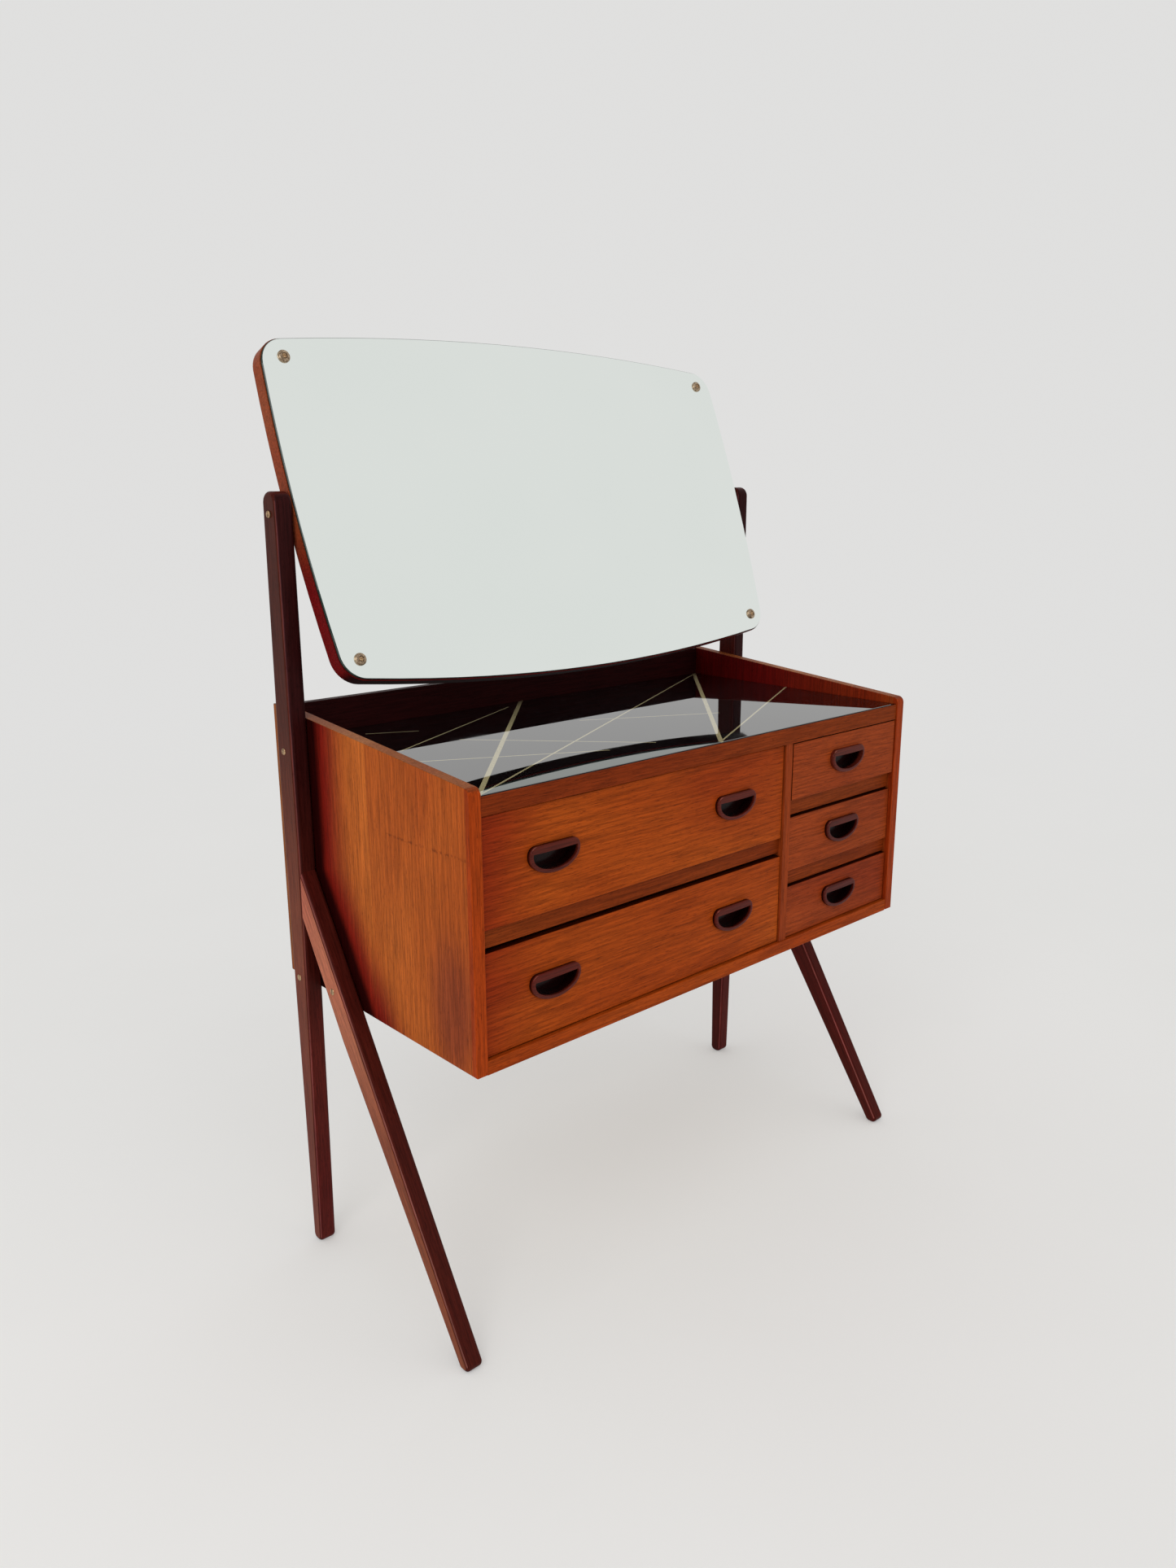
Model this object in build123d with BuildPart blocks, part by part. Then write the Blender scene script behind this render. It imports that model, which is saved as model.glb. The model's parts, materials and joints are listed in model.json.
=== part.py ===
"""Mid-century teak dressing table with a tilting mirror.

A box carcass with five drawers hangs between two A-shaped leg pairs. Each rear leg runs on
upwards as a post, and the mirror turns on two pivot screws near the tops of the posts.
Millimetres, +Z up, the front faces -Y. The origin is on the floor, in the middle of the
width and of the whole depth.
"""

import os
from math import cos, radians, sin

from build123d import *

os.makedirs("parts", exist_ok=True)

# ---------------------------------------------------------------- driving dimensions
CARCASS_W = 850.0           # over the outer faces of the side panels
CARCASS_D = 442.0           # depth of the side panels
SIDE_T = 17.0
CARCASS_Z = 401.0           # underside of the carcass
SIDE_TOP_FRONT = 752.0      # the side panels' top edges rise towards the back
SIDE_TOP_BACK = 790.0
SIDE_NOSE_R = 10.0          # rounded top front corner of a side panel
SIDE_EDGE_R = 1.2

BOARD_T = 18.5              # bottom board and its front rail
BOARD_DROP = 1.5            # they stand this far below the side panels
TOP_RAIL_Z = 718.0          # underside of the top front rail
TOP_RAIL_H = 23.4
TOP_BOARD_T = 18.0
TOP_RAIL_LIP = 2.4          # what is left of the rail in front of the glass
RAIL_SETBACK = 2.0          # top rail behind the side panels' front edges
BOTTOM_RAIL_SETBACK = 0.8
RAIL_DEPTH = 20.0
RAIL_EDGE_R = 1.0
GLASS_T = 4.0
GLASS_CHAMFER = 0.6
GLASS_PROUD = 1.0           # the glass stands this far above the rail's lip
GLASS_GAP = 0.5             # play round the loose glass
BACK_T = 12.0
BACK_SETBACK = 2.0
BACK_TOP_Z = 788.0

DIVIDER_X = 137.2           # left face of the upright between the two columns of drawers
DIVIDER_T = 14.6
DIVIDER_SETBACK = 3.0
STRIP_H = 21.0              # rails between one drawer and the next
STRIP_DEPTH = 20.0
STRIP_SETBACK = 11.0
STRIP_LEFT_Z = 555.5
STRIP_RIGHT_ZS = (608.0, 501.0)

LEG_T = 25.0
LEG_ROUND = 5.0             # rounding of the long edges of legs and posts
POST_TOP_Z = 1071.0
POST_TOP_ROUND = 15.0
POST_FRONT_FOOT = 363.0     # the post's outline: distances behind the side panels' front
POST_FRONT_BEND = (350.5, 600.0)     # edges, with the height where it isn't an end
POST_FRONT_TOP = 351.5
POST_BACK_TOP = 385.0
POST_BACK_WAIST = (391.0, 690.0)
POST_BACK_KNEE = (389.5, 400.0)
POST_BACK_FOOT = 384.5
WAIST_R = 600.0             # easing of the bends in its edges
POST_FOOT_R = 8.5
LEG_FRONT_FOOT = -0.5       # the raked front leg, likewise
LEG_FRONT_TOP_Z = 575.0
LEG_WIDTH = 40.4            # square to its own length
LEG_FOOT_WIDTH = 22.0       # along the floor
LEG_FOOT_R = 7.0
LEG_TAPER_Z = 380.0         # it tapers from here down to the foot

POST_SCREW_ZS = (738.0, 417.0)
POST_SCREW_Y = 373.2        # behind the side panels' front edges
LEG_SCREW_Y = 284.2
LEG_SCREW_Z = 425.0
SCREW_HEAD_R = 4.6
SCREW_HEAD_H = 1.5
SCREW_HEAD_SUNK = 0.6
SCREW_CROWN_R = 1.0         # rounding of the head's rim
SCREW_SHANK_R = 2.4
SCREW_LENGTH = 36.0
SLOT_W = 1.1
SLOT_DEPTH = 0.8

PIVOT_Y = 367.6             # behind the side panels' front edges
PIVOT_Z = 1043.0
PIVOT_PIN_R = 3.0
PIVOT_RUNNING_GAP = 0.05
PIVOT_IN_MIRROR = 28.0
PIVOT_HEAD_R = 4.6
PIVOT_HEAD_H = 2.2
PIVOT_CROWN_R = 1.5
BUSH_R = 4.3
WASHER_R = 9.0
WASHER_T = 0.8
MOVING_GAP = 0.4

MIRROR_TILT = 20.4          # degrees, top leaning back
MIRROR_HALF_W = 423.3       # at the pivots, the widest place
MIRROR_UP = 245.5           # from the pivot line to the top and bottom, at mid width
MIRROR_DOWN = 250.0
MIRROR_CORNER_UP = (418.5, 223.0)    # where the bowed sides would meet the bowed ends
MIRROR_CORNER_DOWN = (409.0, 222.0)
MIRROR_CORNER_R = 38.0
MIRROR_BOARD_T = 22.0
MIRROR_BOARD_BEHIND = 8.0   # of that, behind the pivot line
MIRROR_GLASS_T = 4.0
MIRROR_GLASS_INSET = 1.2
MIRROR_GLASS_CHAMFER = 1.0
MIRROR_EDGE_R = 1.5
FIXING_UP = (387.0, 200.5)  # the four fixings through the glass, from the pivots' middle
FIXING_DOWN = (382.5, 198.5)
ROSETTE_R = 8.4
ROSETTE_H = 3.6
ROSETTE_CROWN_R = 2.9
ROSETTE_SEAT_R = 3.9
ROSETTE_SEAT_DEPTH = 1.3
MIRROR_SCREW_R = 1.8
MIRROR_SCREW_HEAD_R = 3.3
MIRROR_SCREW_HEAD_H = 1.6
MIRROR_SCREW_CROWN_R = 1.2
MIRROR_SCREW_DEPTH = 14.0   # in the board
GLASS_HOLE_R = 2.6

DRAWER_SETBACK = 6.0        # drawer fronts behind the side panels' front edges
AJAR = 4.0                  # the top right drawer isn't pushed right home
FRONT_GAP = 1.2             # round a drawer front
FRONT_T = 18.0
FRONT_EDGE_R = 1.3
DRAWER_BACK_Y = 414.0       # back end of a drawer's box
BOX_GAP = 1.5               # between a drawer's side and the carcass
BOX_SIDE_T = 13.0
BOX_ABOVE = 3.0             # a drawer side starts above the front's lower edge
BOX_BELOW = 7.0             # and stops below its upper edge
BOX_BACK_T = 12.0
BOX_BACK_DROP = 5.0
DRAWER_BOTTOM_T = 4.0
DRAWER_BOTTOM_UP = 6.0      # underside of the bottom above the sides' lower edges
BOTTOM_TONGUE = 4.0
TAIL_LENGTH = 11.0          # half-blind dovetails at the front corners
TAIL_FLARE = 1.6
TAIL_ROOT = 0.28            # half width of a tail at its root, in pitches
TAIL_PITCH = 26.0
RUNNER_W = 8.0
RUNNER_H = 12.0
RUNNER_FRONT_Y = 38.0
RUNNER_BACK_Y = 408.0
GROOVE_DEPTH = 7.5
GROOVE_H = 13.0
GROOVE_FRONT_Y = 35.0

PULL_W = 80.0
PULL_ABOVE = 19.0           # flat top edge above the pull's centre
PULL_BELOW = 18.8
PULL_SHOULDER = 6.0         # the round lower half starts this far above the centre
PULL_TOP_R = 11.5
PULL_PROUD = 6.0
PULL_CREST_R = 2.6
PULL_WALL = 5.2
PULL_BODY_INSET = 2.5       # the part let into the front is this much smaller all round
PULL_IN_WOOD = 14.0
PULL_CUP_DEPTH = 17.0       # from the crest
PULL_LIP_T = 5.0
PULL_LIP_END = 7.0          # depth of the lip at its ends and in the middle
PULL_LIP_MIDDLE = 9.6
PULL_SPREAD = 165.0         # each way from the middle of a wide drawer
PULL_LEFT_X = -134.0
PULL_RIGHT_X = 281.0

# ---------------------------------------------------------------- worked out from them
HALF_W = CARCASS_W / 2
INNER_X = HALF_W - SIDE_T
TILT = radians(MIRROR_TILT)
MIRROR_REACH = PIVOT_Y + MIRROR_UP * sin(TILT) + MIRROR_BOARD_BEHIND * cos(TILT)
PULL_REACH = PULL_PROUD + AJAR - DRAWER_SETBACK
FRONT = (PULL_REACH - MIRROR_REACH) / 2          # y of the side panels' front edges
BACK_FACE = FRONT + CARCASS_D - BACK_SETBACK - BACK_T
BOARD_Z = CARCASS_Z - BOARD_DROP
BOARD_TOP = BOARD_Z + BOARD_T
RAIL_FACE = FRONT + RAIL_SETBACK
BOTTOM_RAIL_FACE = FRONT + BOTTOM_RAIL_SETBACK
GLASS_TOP_Z = TOP_RAIL_Z + TOP_RAIL_H + GLASS_PROUD
GLASS_SEAT_Z = GLASS_TOP_Z - GLASS_T
DIVIDER_RIGHT_X = DIVIDER_X + DIVIDER_T
STRIP_FACE = FRONT + STRIP_SETBACK
POST_SCREWS = [(FRONT + POST_SCREW_Y, z) for z in POST_SCREW_ZS]     # (y, z)
LEG_SCREW = (FRONT + LEG_SCREW_Y, LEG_SCREW_Z)
PIVOT = (FRONT + PIVOT_Y, PIVOT_Z)
MIRROR_BOARD_FACE = MIRROR_BOARD_T - MIRROR_BOARD_BEHIND
MIRROR_FACE = MIRROR_BOARD_FACE + MIRROR_GLASS_T

# name, left wall, right wall, lower edge and upper edge of the front, pulls, pulled out by
WIDE_PULLS = (PULL_LEFT_X - PULL_SPREAD, PULL_LEFT_X + PULL_SPREAD)
DRAWERS = [
    ("drawer_left_top", -INNER_X, DIVIDER_X, 578.5, 716.5, WIDE_PULLS, 0.0),
    ("drawer_left_bottom", -INNER_X, DIVIDER_X, 419.2, 551.0, WIDE_PULLS, 0.0),
    ("drawer_right_top", DIVIDER_RIGHT_X, INNER_X, 632.5, 716.5, (PULL_RIGHT_X,), AJAR),
    ("drawer_right_middle", DIVIDER_RIGHT_X, INNER_X, 523.0, 605.3, (PULL_RIGHT_X,), 0.0),
    ("drawer_right_bottom", DIVIDER_RIGHT_X, INNER_X, 419.2, 498.5, (PULL_RIGHT_X,), 0.0),
]


def save(part, name):
    """Label a finished piece and write its STEP file."""
    part.label = name
    export_step(part, f"parts/{name}.step")


def box_between(low, high, mode=Mode.ADD):
    """A box from its lowest corner to its highest, in the open part."""
    size = [b - a for a, b in zip(low, high)]
    with Locations(tuple((a + b) / 2 for a, b in zip(low, high))):
        Box(*size, mode=mode)


def across(y):
    """The upright plane facing the front at depth y: x to the right, z up."""
    return Plane.XZ.offset(-y)


def facing_out(side, x):
    """The upright plane facing out of one side at distance x from the middle."""
    return Plane(origin=(side * x, 0, 0), x_dir=(0, side, 0), z_dir=(side, 0, 0))


# ---------------------------------------------------------------- carcass
def side_panel(side, name):
    """A side panel with its sloping top edge and the pilot holes of the leg screws."""
    inner = side * INNER_X
    with BuildPart() as panel:
        with BuildSketch(Plane.YZ.offset(min(inner, side * HALF_W))):
            with BuildLine():
                Polyline(
                    (FRONT, CARCASS_Z),
                    (FRONT + CARCASS_D, CARCASS_Z),
                    (FRONT + CARCASS_D, SIDE_TOP_BACK),
                    (FRONT, SIDE_TOP_FRONT),
                    close=True,
                )
            profile = make_face()
            fillet(profile.vertices().group_by(Axis.X)[0].sort_by(Axis.Y)[-1], SIDE_NOSE_R)
        extrude(amount=SIDE_T)
        rim = [panel.faces().sort_by(Axis.X)[i].outer_wire().edges() for i in (0, -1)]
        fillet(rim[0] + rim[1], SIDE_EDGE_R)
        with BuildSketch(facing_out(side, HALF_W)):
            with Locations([(side * y, z) for y, z in (*POST_SCREWS, LEG_SCREW)]):
                Circle(SCREW_SHANK_R)
        extrude(amount=LEG_T - SCREW_LENGTH, mode=Mode.SUBTRACT)
    save(panel.part, name)


def board(name, low, high, edge_r=0.0):
    """A plain board; edge_r softens its two long front edges."""
    with BuildPart() as piece:
        box_between(low, high)
        if edge_r:
            fillet(piece.edges().filter_by(Axis.X).group_by(Axis.Y)[0], edge_r)
    save(piece.part, name)


side_panel(-1, "side_panel_left")
side_panel(1, "side_panel_right")

board(
    "bottom_board",
    (-INNER_X, BOTTOM_RAIL_FACE + RAIL_DEPTH, BOARD_Z),
    (INNER_X, BACK_FACE, BOARD_TOP),
)
board(
    "bottom_front_rail",
    (-INNER_X, BOTTOM_RAIL_FACE, BOARD_Z),
    (INNER_X, BOTTOM_RAIL_FACE + RAIL_DEPTH, BOARD_TOP),
    edge_r=RAIL_EDGE_R,
)
board(
    "top_board",
    (-INNER_X, RAIL_FACE + RAIL_DEPTH, GLASS_SEAT_Z - TOP_BOARD_T),
    (INNER_X, BACK_FACE, GLASS_SEAT_Z),
)
board(
    "back_panel",
    (-INNER_X, BACK_FACE, CARCASS_Z),
    (INNER_X, BACK_FACE + BACK_T, BACK_TOP_Z),
)
board(
    "divider_panel",
    (DIVIDER_X, FRONT + DIVIDER_SETBACK, BOARD_TOP),
    (DIVIDER_RIGHT_X, BACK_FACE, GLASS_SEAT_Z - TOP_BOARD_T),
)
board(
    "drawer_rail_left",
    (-INNER_X, STRIP_FACE, STRIP_LEFT_Z),
    (DIVIDER_X, STRIP_FACE + STRIP_DEPTH, STRIP_LEFT_Z + STRIP_H),
)

with BuildPart() as drawer_rails_right:
    for strip_z in STRIP_RIGHT_ZS:
        box_between(
            (DIVIDER_RIGHT_X, STRIP_FACE, strip_z),
            (INNER_X, STRIP_FACE + STRIP_DEPTH, strip_z + STRIP_H),
        )
save(drawer_rails_right.part, "drawer_rails_right")

with BuildPart() as top_front_rail:
    box_between(
        (-INNER_X, RAIL_FACE, TOP_RAIL_Z),
        (INNER_X, RAIL_FACE + RAIL_DEPTH, TOP_RAIL_Z + TOP_RAIL_H),
    )
    box_between(
        (-INNER_X, RAIL_FACE + TOP_RAIL_LIP, GLASS_SEAT_Z),
        (INNER_X, RAIL_FACE + RAIL_DEPTH, TOP_RAIL_Z + TOP_RAIL_H),
        mode=Mode.SUBTRACT,
    )
    box_between(
        (DIVIDER_X, FRONT + DIVIDER_SETBACK, TOP_RAIL_Z),
        (DIVIDER_RIGHT_X, RAIL_FACE + RAIL_DEPTH, GLASS_SEAT_Z - TOP_BOARD_T),
        mode=Mode.SUBTRACT,
    )
save(top_front_rail.part, "top_front_rail")

with BuildPart() as glass_top:
    box_between(
        (-INNER_X + GLASS_GAP, RAIL_FACE + TOP_RAIL_LIP + GLASS_GAP, GLASS_SEAT_Z),
        (INNER_X - GLASS_GAP, BACK_FACE - GLASS_GAP, GLASS_TOP_Z),
    )
    chamfer(glass_top.faces().sort_by(Axis.Z)[-1].edges(), GLASS_CHAMFER)
save(glass_top.part, "glass_top")


# ---------------------------------------------------------------- legs and posts
def place_on_side(side, inner_face):
    """The upright plane along a side, extruding outwards from its inner face."""
    return Plane.YZ.offset(inner_face if side > 0 else -inner_face - LEG_T)


def bore_sideways(side, points, radius, depth):
    """Drill from the outer face of a leg inwards at each (y, z)."""
    with BuildSketch(facing_out(side, HALF_W + LEG_T)) as holes:
        with Locations([(side * y, z) for y, z in points]):
            Circle(radius)
    extrude(holes.sketch, amount=-depth, mode=Mode.SUBTRACT)


def post_front_y(z):
    """Front face of a post at height z, below its bend."""
    bend_y, bend_z = POST_FRONT_BEND
    return FRONT + POST_FRONT_FOOT + (bend_y - POST_FRONT_FOOT) * z / bend_z


def mirror_post(side, name):
    """A rear leg that runs on upwards as the mirror's post."""
    with BuildPart() as post:
        with BuildSketch(place_on_side(side, HALF_W)) as post_outline:
            with BuildLine():
                Polyline(
                    (FRONT + POST_FRONT_FOOT, 0),
                    (FRONT + POST_BACK_FOOT, 0),
                    (FRONT + POST_BACK_KNEE[0], POST_BACK_KNEE[1]),
                    (FRONT + POST_BACK_WAIST[0], POST_BACK_WAIST[1]),
                    (FRONT + POST_BACK_TOP, POST_TOP_Z),
                    (FRONT + POST_FRONT_TOP, POST_TOP_Z),
                    (FRONT + POST_FRONT_BEND[0], POST_FRONT_BEND[1]),
                    close=True,
                )
            make_face()
            bends = [v for v in post_outline.vertices() if 0 < v.Y < POST_TOP_Z]
            fillet(bends, WAIST_R)
            fillet(post_outline.vertices().group_by(Axis.Y)[-1], POST_TOP_ROUND)
            fillet(post_outline.vertices().group_by(Axis.Y)[0], POST_FOOT_R)
        extrude(amount=LEG_T)
        rim = [post.faces().sort_by(Axis.X)[i].outer_wire().edges() for i in (0, -1)]
        fillet(rim[0] + rim[1], LEG_ROUND)
        bore_sideways(side, POST_SCREWS, SCREW_SHANK_R, LEG_T)
        bore_sideways(side, POST_SCREWS, SCREW_HEAD_R, SCREW_HEAD_SUNK)
        bore_sideways(side, [PIVOT], BUSH_R, LEG_T)
    save(post.part, name)


def front_leg(side, name):
    """A raked front leg whose upper end butts against the front of the post."""
    top_y = post_front_y(LEG_FRONT_TOP_Z)
    foot_y = FRONT + LEG_FRONT_FOOT
    run = Vector(top_y - foot_y, LEG_FRONT_TOP_Z)
    along = run.normalized()
    square = Vector(along.Y, -along.X)
    knee = Vector(foot_y, 0) + along * (LEG_TAPER_Z / along.Y) + square * LEG_WIDTH
    under = knee + along * ((post_front_y(LEG_TAPER_Z) - knee.X) / along.X)
    with BuildPart() as leg:
        with BuildSketch(place_on_side(side, HALF_W)):
            with BuildLine():
                Polyline(
                    (foot_y, 0),
                    (foot_y + LEG_FOOT_WIDTH, 0),
                    (knee.X, knee.Y),
                    (post_front_y(under.Y), under.Y),
                    (top_y, LEG_FRONT_TOP_Z),
                    close=True,
                )
            profile = make_face()
            fillet(profile.vertices().group_by(Axis.Y)[0], LEG_FOOT_R)
        extrude(amount=LEG_T)
        butt = leg.faces().sort_by(Axis.Y)[-1]
        rim = [leg.faces().sort_by(Axis.X)[i].outer_wire().edges() for i in (0, -1)]
        butt_ends = butt.edges().filter_by(Axis.X, reverse=True)
        long_edges = [e for e in rim[0] + rim[1] if e not in butt_ends]
        fillet(long_edges, LEG_ROUND)
        bore_sideways(side, [LEG_SCREW], SCREW_SHANK_R, LEG_T)
        bore_sideways(side, [LEG_SCREW], SCREW_HEAD_R, SCREW_HEAD_SUNK)
    save(leg.part, name)


mirror_post(-1, "mirror_post_left")
mirror_post(1, "mirror_post_right")
front_leg(-1, "front_leg_left")
front_leg(1, "front_leg_right")

with BuildPart() as leg_screws:
    for side in (-1, 1):
        seat = facing_out(side, HALF_W + LEG_T - SCREW_HEAD_SUNK)
        places = [(side * y, z) for y, z in (*POST_SCREWS, LEG_SCREW)]
        with BuildSketch(seat):
            with Locations(places):
                Circle(SCREW_HEAD_R)
        head = extrude(amount=SCREW_HEAD_H)
        crown = head.faces().sort_by(Axis.X, reverse=side > 0)[: len(places)]
        fillet([edge for face in crown for edge in face.edges()], SCREW_CROWN_R)
        with BuildSketch(seat):
            with Locations(places):
                Circle(SCREW_SHANK_R)
        extrude(amount=SCREW_HEAD_SUNK - SCREW_LENGTH)
        with BuildSketch(seat.offset(SCREW_HEAD_H)):
            with Locations(places):
                Rectangle(SLOT_W, 2 * SCREW_HEAD_R)
        extrude(amount=-SLOT_DEPTH, mode=Mode.SUBTRACT)
save(leg_screws.part, "leg_screws")

with BuildPart() as pivot_bushes:
    for side in (-1, 1):
        with BuildSketch(place_on_side(side, HALF_W)):
            with Locations(PIVOT):
                Circle(BUSH_R)
                Circle(PIVOT_PIN_R + PIVOT_RUNNING_GAP, mode=Mode.SUBTRACT)
        extrude(amount=LEG_T)
save(pivot_bushes.part, "pivot_bushes")


# ---------------------------------------------------------------- mirror
MIRROR_PLANE = Plane(
    origin=(0, *PIVOT),
    x_dir=(1, 0, 0),
    z_dir=(0, -cos(TILT), sin(TILT)),
)
MIRROR_NORMAL = Axis(MIRROR_PLANE.origin, MIRROR_PLANE.z_dir)
FIXINGS = [
    (side * x, v)
    for side in (-1, 1)
    for x, v in (FIXING_UP, (FIXING_DOWN[0], -FIXING_DOWN[1]))
]


def mirror_outline(inset):
    """The mirror's outline: four bowed edges and rounded corners, drawn in a sketch."""
    up_x, up_v = (size - inset for size in MIRROR_CORNER_UP)
    down_x, down_v = (size - inset for size in MIRROR_CORNER_DOWN)
    half_w = MIRROR_HALF_W - inset
    with BuildLine() as outline:
        ThreePointArc((-up_x, up_v), (0, MIRROR_UP - inset), (up_x, up_v))
        ThreePointArc((up_x, up_v), (half_w, 0), (down_x, -down_v))
        ThreePointArc((down_x, -down_v), (0, inset - MIRROR_DOWN), (-down_x, -down_v))
        ThreePointArc((-down_x, -down_v), (-half_w, 0), (-up_x, up_v))
    shape = make_face(outline.edges())
    fillet(shape.vertices(), MIRROR_CORNER_R - inset)


with BuildPart() as mirror_board:
    with BuildSketch(MIRROR_PLANE.offset(-MIRROR_BOARD_BEHIND)):
        mirror_outline(0)
    extrude(amount=MIRROR_BOARD_T)
    back_face = mirror_board.faces().sort_by(MIRROR_NORMAL)[0]
    fillet(back_face.edges(), MIRROR_EDGE_R)
    with BuildSketch(MIRROR_PLANE.offset(MIRROR_BOARD_FACE)):
        with Locations(FIXINGS):
            Circle(MIRROR_SCREW_R)
    extrude(amount=-MIRROR_SCREW_DEPTH, mode=Mode.SUBTRACT)
    for side in (-1, 1):
        with BuildSketch(Plane.YZ.offset(side * (MIRROR_HALF_W - PIVOT_IN_MIRROR))):
            with Locations(PIVOT):
                Circle(PIVOT_PIN_R)
        extrude(amount=side * 2 * PIVOT_IN_MIRROR, mode=Mode.SUBTRACT)
save(mirror_board.part, "mirror_board")

with BuildPart() as mirror_glass:
    with BuildSketch(MIRROR_PLANE.offset(MIRROR_BOARD_FACE)):
        mirror_outline(MIRROR_GLASS_INSET)
        with Locations(FIXINGS):
            Circle(GLASS_HOLE_R, mode=Mode.SUBTRACT)
    extrude(amount=MIRROR_GLASS_T)
    glass_face = mirror_glass.faces().sort_by(MIRROR_NORMAL)[-1]
    chamfer(glass_face.outer_wire().edges(), MIRROR_GLASS_CHAMFER)
save(mirror_glass.part, "mirror_glass")

with BuildPart() as mirror_rosettes:
    with BuildSketch(MIRROR_PLANE.offset(MIRROR_FACE)):
        with Locations(FIXINGS):
            Circle(ROSETTE_R)
    extrude(amount=ROSETTE_H)
    fillet(mirror_rosettes.edges().group_by(MIRROR_NORMAL)[-1], ROSETTE_CROWN_R)
    with BuildSketch(MIRROR_PLANE.offset(MIRROR_FACE + ROSETTE_H)):
        with Locations(FIXINGS):
            Circle(ROSETTE_SEAT_R)
    extrude(amount=-ROSETTE_SEAT_DEPTH, mode=Mode.SUBTRACT)
    with BuildSketch(MIRROR_PLANE.offset(MIRROR_FACE)):
        with Locations(FIXINGS):
            Circle(MIRROR_SCREW_R)
    extrude(amount=ROSETTE_H, mode=Mode.SUBTRACT)
save(mirror_rosettes.part, "mirror_rosettes")

with BuildPart() as mirror_screws:
    seat_level = MIRROR_FACE + ROSETTE_H - ROSETTE_SEAT_DEPTH
    with BuildSketch(MIRROR_PLANE.offset(seat_level)):
        with Locations(FIXINGS):
            Circle(MIRROR_SCREW_HEAD_R)
    extrude(amount=MIRROR_SCREW_HEAD_H)
    fillet(mirror_screws.edges().group_by(MIRROR_NORMAL)[-1], MIRROR_SCREW_CROWN_R)
    with BuildSketch(MIRROR_PLANE.offset(MIRROR_BOARD_FACE - MIRROR_SCREW_DEPTH)):
        with Locations(FIXINGS):
            Circle(MIRROR_SCREW_R)
    extrude(amount=MIRROR_SCREW_DEPTH + seat_level - MIRROR_BOARD_FACE)
    with BuildSketch(MIRROR_PLANE.offset(seat_level + MIRROR_SCREW_HEAD_H)):
        with Locations(FIXINGS):
            Rectangle(2 * MIRROR_SCREW_HEAD_R, SLOT_W)
    extrude(amount=-SLOT_DEPTH, mode=Mode.SUBTRACT)
save(mirror_screws.part, "mirror_screws")

with BuildPart() as pivot_screws:
    for side in (-1, 1):
        head_foot = HALF_W + LEG_T + MOVING_GAP
        outward = facing_out(side, head_foot)
        centre = (side * PIVOT[0], PIVOT[1])
        with BuildSketch(outward):
            with Locations(centre):
                Circle(PIVOT_HEAD_R)
        head = extrude(amount=PIVOT_HEAD_H)
        crown = head.faces().sort_by(Axis.X, reverse=side > 0)[0]
        fillet(crown.edges(), PIVOT_CROWN_R)
        with BuildSketch(outward):
            with Locations(centre):
                Circle(PIVOT_PIN_R)
        extrude(amount=MIRROR_HALF_W - PIVOT_IN_MIRROR - head_foot)
        with BuildSketch(outward.offset(PIVOT_HEAD_H)):
            with Locations(centre):
                Rectangle(SLOT_W, 2 * PIVOT_HEAD_R)
        extrude(amount=-SLOT_DEPTH, mode=Mode.SUBTRACT)
save(pivot_screws.part, "pivot_screws")

with BuildPart() as pivot_washers:
    for side in (-1, 1):
        with BuildSketch(Plane.YZ.offset(side * (HALF_W - MOVING_GAP))):
            with Locations(PIVOT):
                Circle(WASHER_R)
                Circle(PIVOT_PIN_R, mode=Mode.SUBTRACT)
        extrude(amount=-side * WASHER_T)
save(pivot_washers.part, "pivot_washers")


# ---------------------------------------------------------------- drawers
def runner_z(low, high):
    """Centre height of the runners of a drawer whose front spans low to high."""
    return (low + BOX_ABOVE + high - BOX_BELOW) / 2


def tails(plane, root_y, low, high):
    """Dovetails along a drawer side's front end: narrow at root_y, wider at their tips."""
    count = max(2, round((high - low) / TAIL_PITCH))
    pitch = (high - low) / count
    with BuildSketch(plane) as profile:
        for i in range(count):
            middle = low + (i + 0.5) * pitch
            root = pitch * TAIL_ROOT
            tip = root + TAIL_FLARE
            with BuildLine():
                Polyline(
                    (root_y, middle - root),
                    (root_y - TAIL_LENGTH, middle - tip),
                    (root_y - TAIL_LENGTH, middle + tip),
                    (root_y, middle + root),
                    close=True,
                )
            make_face()
    return profile.sketch


def pull_outline(x, z, inset):
    """A pull's outline, drawn in a sketch: flat top, rounded corners, a half ellipse below."""
    half = PULL_W / 2 - inset
    top = z + PULL_ABOVE - inset
    waist = z + PULL_SHOULDER
    depth = PULL_BELOW + PULL_SHOULDER - inset
    with BuildLine() as outline:
        Polyline((x - half, waist), (x - half, top), (x + half, top), (x + half, waist))
        EllipticalCenterArc((x, waist), half, depth, start_angle=180, arc_size=180)
    shape = make_face(outline.edges())
    fillet(shape.vertices().group_by(Axis.Y)[-1], PULL_TOP_R - inset)


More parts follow.
